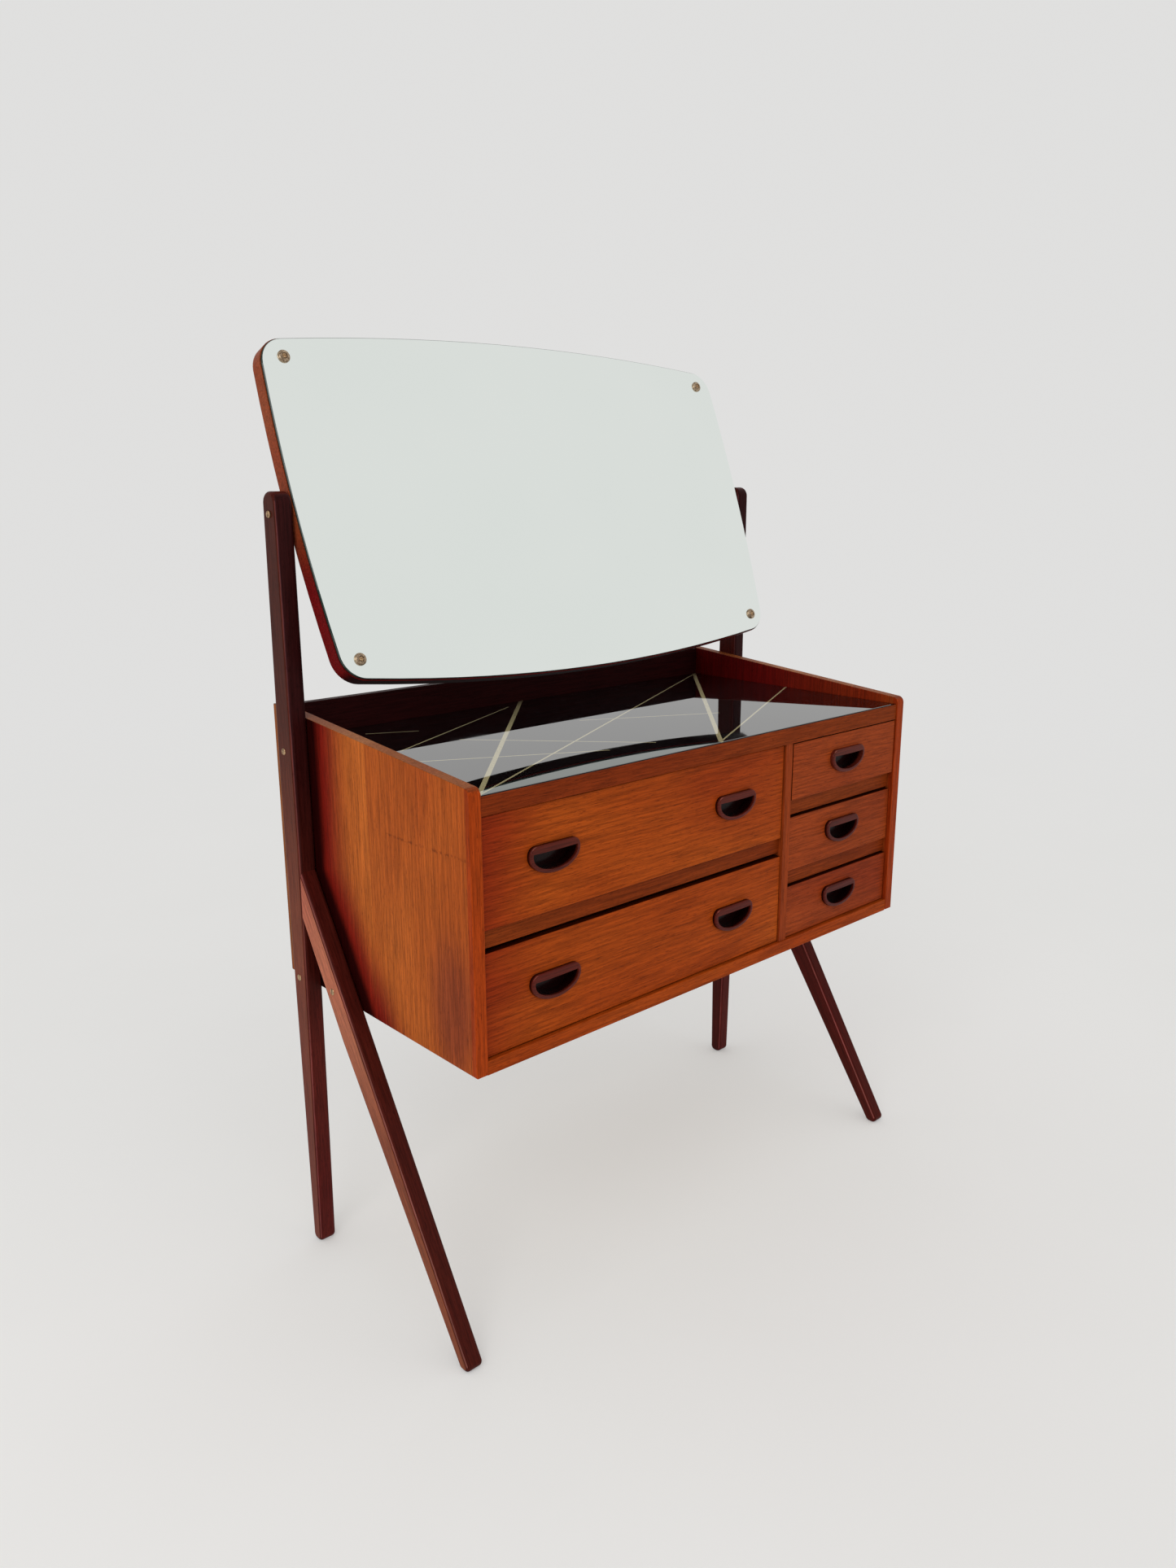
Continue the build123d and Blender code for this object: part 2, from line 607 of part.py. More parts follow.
def drawer(name, left, right, low, high, pulls, ajar):
    """The pieces of one drawer."""
    face = FRONT + DRAWER_SETBACK - ajar
    box_front = face + FRONT_T
    box_back = FRONT + DRAWER_BACK_Y - ajar
    side_low, side_high = low + BOX_ABOVE, high - BOX_BELOW
    bottom_z = side_low + DRAWER_BOTTOM_UP
    inner = [left + BOX_GAP + BOX_SIDE_T, right - BOX_GAP - BOX_SIDE_T]
    pull_z = (low + high) / 2
    drawer_front(name, face, left, right, low, high, pulls, pull_z, inner, bottom_z)
    for hand, wall in (("left", left), ("right", right)):
        drawer_side(f"{name}_side_{hand}", wall, ajar, low, high)
    board(
        f"{name}_back",
        (inner[0], box_back - BOX_BACK_T, bottom_z + DRAWER_BOTTOM_T),
        (inner[1], box_back, side_high - BOX_BACK_DROP),
    )
    board(
        f"{name}_bottom",
        (inner[0] - BOTTOM_TONGUE, box_front - BOTTOM_TONGUE, bottom_z),
        (inner[1] + BOTTOM_TONGUE, box_back, bottom_z + DRAWER_BOTTOM_T),
    )
    drawer_pulls(f"{name}_pulls" if len(pulls) > 1 else f"{name}_pull", face, pulls, pull_z)


def drawer_front(name, face, left, right, low, high, pulls, pull_z, inner, bottom_z):
    """A front with sockets for the dovetails, a groove for the bottom, pockets for pulls."""
    back = face + FRONT_T
    with BuildPart() as front:
        box_between((left + FRONT_GAP, face, low), (right - FRONT_GAP, back, high))
        fillet(front.faces().sort_by(Axis.Y)[0].edges(), FRONT_EDGE_R)
        for x in (left + BOX_GAP, inner[1]):
            sockets = tails(Plane.YZ.offset(x), back, low + BOX_ABOVE, high - BOX_BELOW)
            extrude(sockets, amount=BOX_SIDE_T, mode=Mode.SUBTRACT)
        box_between(
            (inner[0] - BOTTOM_TONGUE, back - BOTTOM_TONGUE, bottom_z),
            (inner[1] + BOTTOM_TONGUE, back, bottom_z + DRAWER_BOTTOM_T),
            mode=Mode.SUBTRACT,
        )
        for x in pulls:
            with BuildSketch(across(face)):
                pull_outline(x, pull_z, PULL_BODY_INSET)
            extrude(amount=-PULL_IN_WOOD, mode=Mode.SUBTRACT)
    save(front.part, f"{name}_front")


def drawer_side(name, wall, ajar, front_low, front_high):
    """A drawer side: tails in front, a runner groove outside, a bottom groove inside."""
    outward = -1 if name.endswith("left") else 1
    outer = wall - outward * BOX_GAP
    inner = outer - outward * BOX_SIDE_T
    groove_end = outer - outward * GROOVE_DEPTH
    tongue_end = inner + outward * BOTTOM_TONGUE
    box_front = FRONT + DRAWER_SETBACK + FRONT_T - ajar
    box_back = FRONT + DRAWER_BACK_Y - ajar
    low, high = front_low + BOX_ABOVE, front_high - BOX_BELOW
    bottom_z = low + DRAWER_BOTTOM_UP
    groove_z = runner_z(front_low, front_high)
    with BuildPart() as side:
        box_between((min(outer, inner), box_front, low), (max(outer, inner), box_back, high))
        tail_plane = Plane.YZ.offset(min(outer, inner))
        extrude(tails(tail_plane, box_front, low, high), amount=BOX_SIDE_T)
        box_between(
            (min(outer, groove_end), FRONT + GROOVE_FRONT_Y - ajar, groove_z - GROOVE_H / 2),
            (max(outer, groove_end), box_back, groove_z + GROOVE_H / 2),
            mode=Mode.SUBTRACT,
        )
        box_between(
            (min(inner, tongue_end), box_front - BOTTOM_TONGUE, bottom_z),
            (max(inner, tongue_end), box_back, bottom_z + DRAWER_BOTTOM_T),
            mode=Mode.SUBTRACT,
        )
    save(side.part, name)


def drawer_pulls(name, face, pulls, pull_z):
    """Cup pulls: a rounded rim proud of the front, a deep cup, a lip bowed across its top."""
    crest = face - PULL_PROUD
    lip_end = pull_z + PULL_ABOVE - PULL_LIP_END
    lip_middle = pull_z + PULL_ABOVE - PULL_LIP_MIDDLE
    with BuildPart() as cups:
        for x in pulls:
            with BuildSketch(across(face)):
                pull_outline(x, pull_z, 0)
            rim = extrude(amount=PULL_PROUD)
            fillet(rim.faces().sort_by(Axis.Y)[0].edges(), PULL_CREST_R)
            with BuildSketch(across(face)):
                pull_outline(x, pull_z, PULL_BODY_INSET)
            extrude(amount=-PULL_IN_WOOD)
            with BuildSketch(across(crest + PULL_LIP_T)):
                pull_outline(x, pull_z, PULL_WALL)
            extrude(amount=PULL_LIP_T - PULL_CUP_DEPTH, mode=Mode.SUBTRACT)
            with BuildSketch(across(crest)):
                pull_outline(x, pull_z, PULL_WALL)
                with BuildLine():
                    ThreePointArc((x - PULL_W, lip_end), (x, lip_middle), (x + PULL_W, lip_end))
                    Polyline(
                        (x + PULL_W, lip_end),
                        (x + PULL_W, pull_z + PULL_W),
                        (x - PULL_W, pull_z + PULL_W),
                        (x - PULL_W, lip_end),
                    )
                make_face(mode=Mode.SUBTRACT)
            extrude(amount=-PULL_LIP_T, mode=Mode.SUBTRACT)
    save(cups.part, name)


for spec in DRAWERS:
    drawer(*spec)

for column, wall_left, wall_right, names in (
    ("left", -INNER_X, DIVIDER_X, DRAWERS[:2]),
    ("right", DIVIDER_RIGHT_X, INNER_X, DRAWERS[2:]),
):
    with BuildPart() as runners:
        for spec in names:
            middle = runner_z(spec[3], spec[4])
            for wall, inward in ((wall_left, 1), (wall_right, -1)):
                ends = sorted((wall, wall + inward * RUNNER_W))
                box_between(
                    (ends[0], FRONT + RUNNER_FRONT_Y, middle - RUNNER_H / 2),
                    (ends[1], FRONT + RUNNER_BACK_Y, middle + RUNNER_H / 2),
                )
    save(runners.part, f"drawer_runners_{column}")
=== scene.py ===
import json
import math

import bmesh
import bpy
from mathutils import Matrix, Vector


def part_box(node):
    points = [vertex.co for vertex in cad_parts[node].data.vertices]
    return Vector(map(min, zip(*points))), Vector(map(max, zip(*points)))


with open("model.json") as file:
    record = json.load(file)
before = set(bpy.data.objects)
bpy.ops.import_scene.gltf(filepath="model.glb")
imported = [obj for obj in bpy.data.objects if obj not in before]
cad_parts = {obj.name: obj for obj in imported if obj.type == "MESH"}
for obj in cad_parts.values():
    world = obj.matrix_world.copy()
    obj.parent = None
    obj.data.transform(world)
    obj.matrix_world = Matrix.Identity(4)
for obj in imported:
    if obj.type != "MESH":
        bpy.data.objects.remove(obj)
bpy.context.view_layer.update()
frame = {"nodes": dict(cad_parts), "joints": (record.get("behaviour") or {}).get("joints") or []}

# ---------------------------------------------------------------- places taken from the frame
PANEL_LOW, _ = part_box("side_panel_left")
FRONT_Y = PANEL_LOW.y       # front edges of the side panels
_, GLASS_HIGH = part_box("glass_top")
TILT = next(joint for joint in frame["joints"] if joint["name"] == "mirror_tilt")
PIVOT = Vector(TILT["pos_m"])

X, Y, Z = (1.0, 0.0, 0.0), (0.0, 1.0, 0.0), (0.0, 0.0, 1.0)
LEFTWARD, FORWARD, DOWNWARD = (-1.0, 0.0, 0.0), (0.0, -1.0, 0.0), (0.0, 0.0, -1.0)


# ---------------------------------------------------------------- building materials
class Graph:
    """One material's node tree. A value given to it is a number, a tuple or another node's output."""

    def __init__(self, name):
        self.material = bpy.data.materials.new(name)
        self.material.use_nodes = True
        self.tree = self.material.node_tree
        self.shader = self.tree.nodes["Principled BSDF"]
        coordinates = self.tree.nodes.new("ShaderNodeTexCoord")
        self.place = coordinates.outputs["Object"]
        self.normal = coordinates.outputs["Normal"]

    def set(self, socket, value):
        if isinstance(value, bpy.types.NodeSocket):
            self.tree.links.new(value, socket)
        elif socket.type == "RGBA" and len(value) == 3:
            socket.default_value = (*value, 1.0)
        else:
            socket.default_value = value

    def add(self, kind, values, **settings):
        node = self.tree.nodes.new("ShaderNode" + kind)
        for key, value in settings.items():
            setattr(node, key, value)
        for key, value in values.items():
            self.set(node.inputs[key], value)
        return node

    def math(self, operation, *values, clamp=False):
        node = self.add("Math", dict(enumerate(values)), operation=operation)
        node.use_clamp = clamp
        return node.outputs[0]

    def vector(self, operation, *values):
        node = self.add("VectorMath", dict(enumerate(values)), operation=operation)
        return node.outputs["Value" if operation in ("DOT_PRODUCT", "LENGTH") else "Vector"]

    def combine(self, x, y, z):
        return self.add("CombineXYZ", {"X": x, "Y": y, "Z": z}).outputs[0]

    def noise(self, vector, scale, detail=3.0, roughness=0.55, distortion=0.0):
        values = {"Vector": vector, "Scale": scale, "Detail": detail, "Roughness": roughness,
                  "Distortion": distortion}
        return self.add("TexNoise", values).outputs["Fac"]

    def ramp(self, value, *stops):
        node = self.add("ValToRGB", {"Fac": value})
        elements = node.color_ramp.elements
        for place, _ in stops[2:]:
            elements.new(place)
        for element, (place, level) in zip(elements, stops):
            element.position = place
            element.color = (level, level, level, 1.0)
        return node.outputs["Color"]

    def span(self, value, low, high, to_low=0.0, to_high=1.0):
        values = {"Value": value, "From Min": low, "From Max": high, "To Min": to_low,
                  "To Max": to_high}
        return self.add("MapRange", values, interpolation_type="SMOOTHSTEP").outputs[0]

    def mix(self, share, first, second, blend="MIX"):
        node = self.add("Mix", {}, data_type="RGBA", blend_type=blend)
        self.set(node.inputs[0], share)
        self.set(node.inputs[6], first)
        self.set(node.inputs[7], second)
        return node.outputs[2]

    def bump(self, height, strength, distance):
        values = {"Height": height, "Strength": strength, "Distance": distance}
        self.set(self.shader.inputs["Normal"], self.add("Bump", values).outputs[0])

    def finish(self, **sockets):
        for key, value in sockets.items():
            self.set(self.shader.inputs[key.replace("_", " ")], value)
        return self.material


def line_mask(graph, start, end, half_width, soft):
    """1 within half_width of the segment from start to end, 0 beyond."""
    run = Vector(end) - Vector(start)
    from_start = graph.vector("SUBTRACT", graph.place, tuple(start))
    along = graph.vector("DOT_PRODUCT", from_start, tuple(run / run.length_squared))
    along = graph.math("ADD", along, 0.0, clamp=True)
    nearest = graph.add("VectorMath", {0: tuple(run), 3: along}, operation="SCALE").outputs[0]
    distance = graph.vector("LENGTH", graph.vector("SUBTRACT", from_start, nearest))
    return graph.span(distance, half_width + soft, half_width - soft)


# The functions below return a mask_of(graph, drift), where drift is a slow noise round 0 that
# makes the mask's border uneven.
SPOT_WANDER = 1.2


def facing(axis, low=0.5, high=0.8):
    """A mask that is 1 where the surface faces along the axis."""
    def mask_of(graph, drift):
        return graph.span(graph.vector("DOT_PRODUCT", graph.normal, axis), low, high)
    return mask_of


def level(axis, low, high, wander=0.0):
    """A mask that goes from 0 at low to 1 at high along the axis."""
    def mask_of(graph, drift):
        place = graph.vector("DOT_PRODUCT", graph.place, axis)
        return graph.span(graph.math("MULTIPLY_ADD", drift, wander, place), low, high)
    return mask_of


def spot(centre, size):
    """A soft oval mask round a point, of this half size along each axis."""
    def mask_of(graph, drift):
        offset = graph.vector("SUBTRACT", graph.place, centre)
        reach = graph.vector("LENGTH", graph.vector("DIVIDE", offset, size))
        return graph.span(graph.math("MULTIPLY_ADD", drift, SPOT_WANDER, reach), 1.0, 0.25)
    return mask_of


def away(axis):
    """A mask that is 1 where the surface does not face along the axis."""
    return facing(axis, 0.75, 0.35)


def both(*masks):
    """The product of masks."""
    def mask_of(graph, drift):
        product = masks[0](graph, drift)
        for mask in masks[1:]:
            product = graph.math("MULTIPLY", product, mask(graph, drift))
        return product
    return mask_of


# ---------------------------------------------------------------- wood
# Noises in the wood: how many times longer than wide along the grain, scale per metre, detail.
DRIFT = (6.0, 7.0, 2.0)
WANDER = (9.0, 26.0, 3.0)
BAND_STRENGTH = (5.0, 11.0, 2.0)
CLOUDS = (3.5, 6.0, 3.0)
REDNESS = (4.0, 4.3, 2.0)
STREAKS = (28.0, 420.0, 3.0)
PORES = (16.0, 1500.0, 1.0)
RED_SWIRL = 0.4
STREAK_ROUGHNESS = 0.7
STREAK_DARKEST, STREAK_LIGHTEST = 0.62, 1.30
RED_SHARE = 0.75
LEAF_SHIFT = 0.37           # how far the noises differ from one veneer leaf to the next
# How dark a growth ring is across its width, as place and level, with its two ends first
RING_PROFILE = ((0.0, 0.0), (1.0, 0.0), (0.35, 0.12), (0.8, 0.85), (0.92, 1.0))
PORE_DARKNESS = 0.35
MARK_DARKNESS = 0.3
MARK_BREAKS = 160.0
STREAK_GLOSS = 0.08
GRAIN_RELIEF = 0.0003


def scaled(colour, factor):
    return tuple(factor * part for part in colour)


def wood(name, tones, grain, face, pith, slope, ring, figure, seed, pore=0.5, rough=0.42,
         specular=0.28, leaves=None, warp=0.012, marks=(), shades=()):
    """Flat-sawn wood: rings round a pith that lies behind the face and leans along the grain.

    tones are the light, middle, dark and red colours. pith is its place across the face and its
    depth behind it. leaves is the place and pitch of veneer leaves laid side by side. marks are
    dark scratches: start, end, half width and strength. shades are masks with the factors that
    multiply the colour inside them.
    """
    graph = Graph(name)
    light, middle, dark, red = tones
    grain, face = Vector(grain).normalized(), Vector(face).normalized()
    side = grain.cross(face)
    along = graph.vector("DOT_PRODUCT", graph.place, tuple(grain))
    across = graph.vector("DOT_PRODUCT", graph.place, tuple(side))
    deep = graph.vector("DOT_PRODUCT", graph.place, tuple(face))
    if leaves:
        start, pitch = leaves
        from_start = graph.math("SUBTRACT", across, start)
        across_leaf = graph.math("WRAP", from_start, pitch, 0.0)
        leaf = graph.math("FLOOR", graph.math("DIVIDE", from_start, pitch))
    else:
        across_leaf, leaf = across, 0.0
    shift = graph.math("MULTIPLY_ADD", leaf, LEAF_SHIFT, seed)

    def grain_noise(kind, roughness=0.55, distortion=0.0):
        length, scale, detail = kind
        stretched = graph.combine(
            graph.math("ADD", across, shift),
            graph.math("MULTIPLY_ADD", along, 1.0 / length, seed),
            deep,
        )
        return graph.noise(stretched, scale, detail, roughness, distortion)

    # Growth rings
    drift = graph.math("SUBTRACT", grain_noise(DRIFT), 0.5)
    wander = graph.math("SUBTRACT", grain_noise(WANDER), 0.5)
    sideways = graph.math("ADD", graph.math("SUBTRACT", across_leaf, pith[0]),
                          graph.math("MULTIPLY", drift, 2.2 * warp))
    depth = graph.math("MULTIPLY_ADD", along, slope, pith[1])
    depth = graph.math("ADD", depth, graph.math("MULTIPLY", drift, 3.0 * warp))
    squares = graph.math("ADD", graph.math("MULTIPLY", sideways, sideways),
                         graph.math("MULTIPLY", depth, depth))
    radius = graph.math("MULTIPLY_ADD", wander, 0.5 * warp, graph.math("SQRT", squares))
    phase = graph.math("FRACT", graph.math("DIVIDE", radius, ring))
    strength = graph.span(grain_noise(BAND_STRENGTH), 0.3, 0.7, 0.35, 1.0)
    band = graph.math("MULTIPLY", graph.ramp(phase, *RING_PROFILE),
                      graph.math("MULTIPLY", strength, figure))

    # Colour
    colour = graph.mix(graph.span(grain_noise(CLOUDS), 0.3, 0.7), middle, light)
    redness = graph.span(grain_noise(REDNESS, distortion=RED_SWIRL), 0.45, 0.75, 0.0, RED_SHARE)
    colour = graph.mix(redness, colour, red)
    colour = graph.mix(band, colour, dark)
    streak = graph.span(grain_noise(STREAKS, STREAK_ROUGHNESS), 0.25, 0.75,
                        STREAK_DARKEST, STREAK_LIGHTEST)
    colour = graph.mix(1.0, colour, graph.combine(streak, streak, streak), "MULTIPLY")
    pores = graph.span(grain_noise(PORES), 0.60, 0.70)
    colour = graph.mix(graph.math("MULTIPLY", pores, pore), colour, scaled(dark, PORE_DARKNESS))
    for mask_of, factors in shades:
        shaded = graph.mix(1.0, colour, factors, "MULTIPLY")
        colour = graph.mix(mask_of(graph, drift), colour, shaded)
    for start, end, half_width, share in marks:
        mask = line_mask(graph, start, end, half_width, half_width)
        broken = graph.span(graph.noise(graph.place, MARK_BREAKS, 2.0), 0.42, 0.62, 0.0, share)
        colour = graph.mix(graph.math("MULTIPLY", mask, broken), colour,
                           scaled(dark, MARK_DARKNESS))

    # Surface
    relief = graph.math("ADD", graph.math("MULTIPLY", pores, -1.0),
                        graph.math("MULTIPLY", streak, 0.25))
    graph.bump(relief, 0.12, GRAIN_RELIEF)
    roughness = graph.math("MULTIPLY_ADD", streak, -STREAK_GLOSS, rough + STREAK_GLOSS)
    return graph.finish(Base_Color=colour, Roughness=roughness, Specular_IOR_Level=specular)


def paint(node, material):
    """Gives a CAD node's object this material in every slot."""
    piece = frame["nodes"][node]
    if not piece.material_slots:
        piece.data.materials.append(material)
    for slot in piece.material_slots:
        slot.material = material


# Light, middle, dark and red colours of each wood
TEAK_SIDE = (
    (0.50, 0.120, 0.016), (0.40, 0.082, 0.010), (0.165, 0.018, 0.004), (0.34, 0.042, 0.006))
TEAK_FRONT = (
    (0.42, 0.078, 0.007), (0.33, 0.048, 0.004), (0.16, 0.014, 0.002), (0.24, 0.021, 0.003))
TEAK_RIGHT = (
    (0.33, 0.056, 0.010), (0.27, 0.040, 0.007), (0.15, 0.016, 0.004), (0.23, 0.025, 0.005))
# Teak for the rails, darkened with painted shade
TEAK_RAIL_SHADED = (
    (0.25, 0.043, 0.006), (0.205, 0.031, 0.004), (0.11, 0.012, 0.002), (0.18, 0.018, 0.003))
MAHOGANY = (
    (0.070, 0.010, 0.006), (0.050, 0.005, 0.004), (0.022, 0.002, 0.002), (0.080, 0.006, 0.005))
# Dark back panel wood, darkened further with painted shade from the mirror above
BACK_WOOD_SHADED = (
    (0.042, 0.006, 0.006), (0.028, 0.004, 0.005), (0.014, 0.002, 0.003), (0.044, 0.004, 0.004))
MIRROR_WOOD = (
    (0.31, 0.070, 0.022), (0.25, 0.048, 0.014), (0.14, 0.022, 0.007), (0.26, 0.028, 0.009))
PULL_WOOD = (
    (0.105, 0.014, 0.007), (0.080, 0.009, 0.005), (0.035, 0.003, 0.002), (0.110, 0.008, 0.004))
BEECH = ((0.66, 0.46, 0.28), (0.60, 0.40, 0.235), (0.47, 0.28, 0.15), (0.58, 0.35, 0.20))
PLY = ((0.70, 0.53, 0.34), (0.64, 0.47, 0.29), (0.50, 0.34, 0.19), (0.60, 0.42, 0.25))
CORE = ((0.50, 0.36, 0.22), (0.44, 0.31, 0.19), (0.34, 0.23, 0.14), (0.42, 0.28, 0.17))

SATIN = 0.04                # low specular levels keep the dark woods' colours deep
SOFT_GLOSS = 0.05

# ---------------------------------------------------------------- side panels
LEG_SLOPE = Vector((0.0, 0.351, 0.575)).normalized()    # up along a front leg
POST_FRONT = 0.3505         # front of a post behind the panels' front edges
POST_REAR = 0.388           # its rear
LIPPING = 0.008             # depth of the solid strip on a panel's front edge
LEAF_WIDTH = 0.214
LEG_WANDER = 0.03
SCRATCH_REAR = (PANEL_LOW.x, FRONT_Y + 0.172, 0.664)
SCRATCH_FRONT = (PANEL_LOW.x, FRONT_Y + 0.006, 0.668)
SCRATCH = (SCRATCH_REAR, SCRATCH_FRONT, 0.0016, 0.5)
# What the shades below multiply red, green and blue by
DARK_LEAF_PLACE = (PANEL_LOW.x, FRONT_Y + 0.045, 0.47)
DARK_LEAF_SIZE = (1.0, 0.055, 0.12)
DARK_LEAF = (0.66, 0.62, 1.3)
# Painted shade beside the left leg and post: a deep red band, then a dark shadow nearest them
LEG_RED_SHADE = (0.46, 0.10, 0.30)
LEG_SHADOW = (0.10, 0.14, 0.30)
# Painted shade on the left panel's rear strip behind the post
BEHIND_POST_SHADE = (0.62, 0.85, 1.6)
LEFT_LIPPING = (0.92, 0.60, 0.45)
RIGHT_LIPPING = (0.80, 0.50, 0.45)
# Painted shade on the right panel's inner face: darker and redder towards the back, and darker behind
# its first few centimetres
INSIDE_RED_SHADE = (0.36, 0.07, 0.34)
INSIDE_SHADE = (0.72, 0.42, 0.6)
# Painted sheen on the side panels' top edges: paler and bluer
TOP_EDGE_SHEEN = (0.70, 1.0, 2.2)


def shade_beside_leg(outer, inner):
    """A mask of painted shade on the left panel's outer face, growing towards the front of the leg
    and post.
    """
    def mask_of(graph, drift):
        from_front = graph.vector("SUBTRACT", graph.place, (0.0, FRONT_Y, 0.0))
        off_leg = graph.vector("DOT_PRODUCT", from_front, (0.0, -LEG_SLOPE.z, LEG_SLOPE.y))
        depth = graph.vector("DOT_PRODUCT", graph.place, Y)
        off_post = graph.math("SUBTRACT", FRONT_Y + POST_FRONT, depth)
        gap = graph.math("MINIMUM", off_leg, off_post)
        gap = graph.math("MULTIPLY_ADD", drift, LEG_WANDER, gap)
        before_rear = graph.math("LESS_THAN", depth, FRONT_Y + POST_REAR)
        outward = facing(LEFTWARD)(graph, drift)
        return graph.math("MULTIPLY", graph.span(gap, outer, inner),
                          graph.math("MULTIPLY", before_rear, outward))
    return mask_of


def side_panel_wood(name, seed, shades, marks=()):
    return wood(name, TEAK_SIDE, grain=Z, face=X, pith=(0.046, -0.025), slope=0.10, ring=0.0058,
                figure=1.0, seed=seed, specular=SATIN, leaves=(FRONT_Y, LEAF_WIDTH), warp=0.004,
                marks=marks, shades=shades)


def paint_side_panels():
    leftward = facing(LEFTWARD)
    lipping = level(Y, FRONT_Y + LIPPING + 0.002, FRONT_Y + LIPPING - 0.001)
    behind_post_shade = level(Y, FRONT_Y + POST_REAR, FRONT_Y + POST_REAR + 0.003)
    paint("side_panel_left", side_panel_wood("teak_side_left", 1.7, marks=(SCRATCH,), shades=(
        (both(leftward, spot(DARK_LEAF_PLACE, DARK_LEAF_SIZE)), DARK_LEAF),
        (shade_beside_leg(0.095, 0.030), LEG_RED_SHADE),
        (shade_beside_leg(0.034, 0.014), LEG_SHADOW),
        (behind_post_shade, BEHIND_POST_SHADE),
        (lipping, LEFT_LIPPING),
        (facing(Z), TOP_EDGE_SHEEN),
    )))
    paint("side_panel_right", side_panel_wood("teak_side_right", 5.3, shades=(
        (both(leftward, level(Y, FRONT_Y - 0.12, FRONT_Y + 0.30)), INSIDE_RED_SHADE),
        (both(leftward, level(Y, FRONT_Y - 0.02, FRONT_Y + 0.05)), INSIDE_SHADE),
        (lipping, RIGHT_LIPPING),
        (facing(Z), TOP_EDGE_SHEEN),
    )))


# ---------------------------------------------------------------- drawer fronts
# Colours, height of the pith, seed and slope of the grain of each drawer's front
FRONTS = {
    "drawer_left_top": (TEAK_FRONT, 0.66, 2.1, 0.05),
    "drawer_left_bottom": (TEAK_FRONT, 0.47, 3.9, -0.03),
    "drawer_right_top": (TEAK_RIGHT, 0.70, 6.2, 0.02),
    "drawer_right_middle": (TEAK_RIGHT, 0.53, 8.4, -0.02),
    "drawer_right_bottom": (TEAK_RIGHT, 0.47, 9.7, 0.03),
}
LEFT_END = (0.66, 0.36, 0.6)
# Painted shade on the drawer fronts' edges, so the gaps round the drawers read dark
FRONT_EDGE_SHADE = (0.10, 0.08, 0.10)


def paint_drawer_fronts():
    for name, (tones, pith_z, seed, slope) in FRONTS.items():
        paint(name + "_front", wood(
            name + "_teak", tones, grain=X, face=Y, pith=(pith_z, 0.07), slope=slope,
            ring=0.0085, figure=0.8, seed=seed, specular=SATIN, warp=0.018,
            shades=(
                (level(X, -0.28, -0.42, 0.25), LEFT_END),
                (away(FORWARD), FRONT_EDGE_SHADE),
            )))


# ---------------------------------------------------------------- rails, upright and back
# Painted shade on the rails' edges and undersides, round the drawer gaps
RAIL_EDGE_SHADE = (0.12, 0.10, 0.12)


def paint_rails():
    rail = wood("teak_rail", TEAK_RAIL_SHADED, grain=X, face=Y, pith=(0.70, 0.15), slope=0.02, ring=0.004,
                figure=0.5, seed=4.4, rough=0.5, specular=SATIN,
                shades=((away(FORWARD), RAIL_EDGE_SHADE),))
    for node in ("top_front_rail", "drawer_rail_left", "drawer_rails_right"):
        paint(node, rail)
    paint("bottom_front_rail", wood(
        "teak_bottom_rail", TEAK_FRONT, grain=X, face=Y, pith=(0.70, 0.15), slope=0.02,
        ring=0.006, figure=0.6, seed=6.1, rough=0.5, specular=SATIN))
    paint("divider_panel", wood(
        "teak_upright", TEAK_RIGHT, grain=Z, face=Y, pith=(0.12, 0.15), slope=0.02, ring=0.004,
        figure=0.5, seed=7.7, specular=SATIN))
    paint("back_panel", wood(
        "teak_back", BACK_WOOD_SHADED, grain=X, face=Y, pith=(0.75, 0.2), slope=0.05, ring=0.006,
        figure=0.5, seed=2.9, specular=SATIN))


def paint_core_boards():
    core = wood("core_board", CORE, grain=X, face=Z, pith=(0.0, 0.4), slope=0.04, ring=0.006,
                figure=0.4, seed=3.1, rough=0.7)
    paint("bottom_board", core)
    paint("top_board", core)


# ---------------------------------------------------------------- legs and posts
OUTER_X = 0.447             # the outer faces of the legs lie beyond this
HIGHLIGHT_X, HIGHLIGHT_Y = -0.75, -0.66
LEG_REARWARD = Vector((0.0, LEG_SLOPE.z, -LEG_SLOPE.y))    # across a front leg
# Directions that the rounded front left corners of a post and a leg face, where a painted highlight
# lightens them
POST_HIGHLIGHT_FACING = Vector((HIGHLIGHT_X, HIGHLIGHT_Y, 0.0)).normalized()
LEG_HIGHLIGHT_FACING = (Vector((HIGHLIGHT_X, 0.0, 0.0)) + HIGHLIGHT_Y * LEG_REARWARD).normalized()
# Painted light: the posts' outer faces lighter than their fronts
POST_OUTER_LIGHT = (2.7, 4.6, 3.4)
# Painted shade: the posts darker towards their tops, on the outer faces and the fronts
POST_OUTER_TOP_SHADE = (0.36, 0.30, 0.38)
POST_FRONT_TOP_SHADE = (0.45, 0.5, 0.8)
# Painted light: the posts' fronts lighter towards their feet
POST_FRONT_FOOT_LIGHT = (1.6, 1.6, 1.8)
# Painted highlight on the posts' rounded front left corners
POST_CORNER_HIGHLIGHT = (2.4, 4.5, 5.5)
# Painted light on the legs: outer faces lighter than the fronts, and lighter still towards the top
LEG_OUTER_LIGHT = (3.4, 6.0, 3.8)
LEG_OUTER_TOP_LIGHT = (1.9, 2.6, 3.4)
# Painted highlight on the legs' rounded front left corners
LEG_CORNER_HIGHLIGHT = (3.4, 8.0, 10.0)


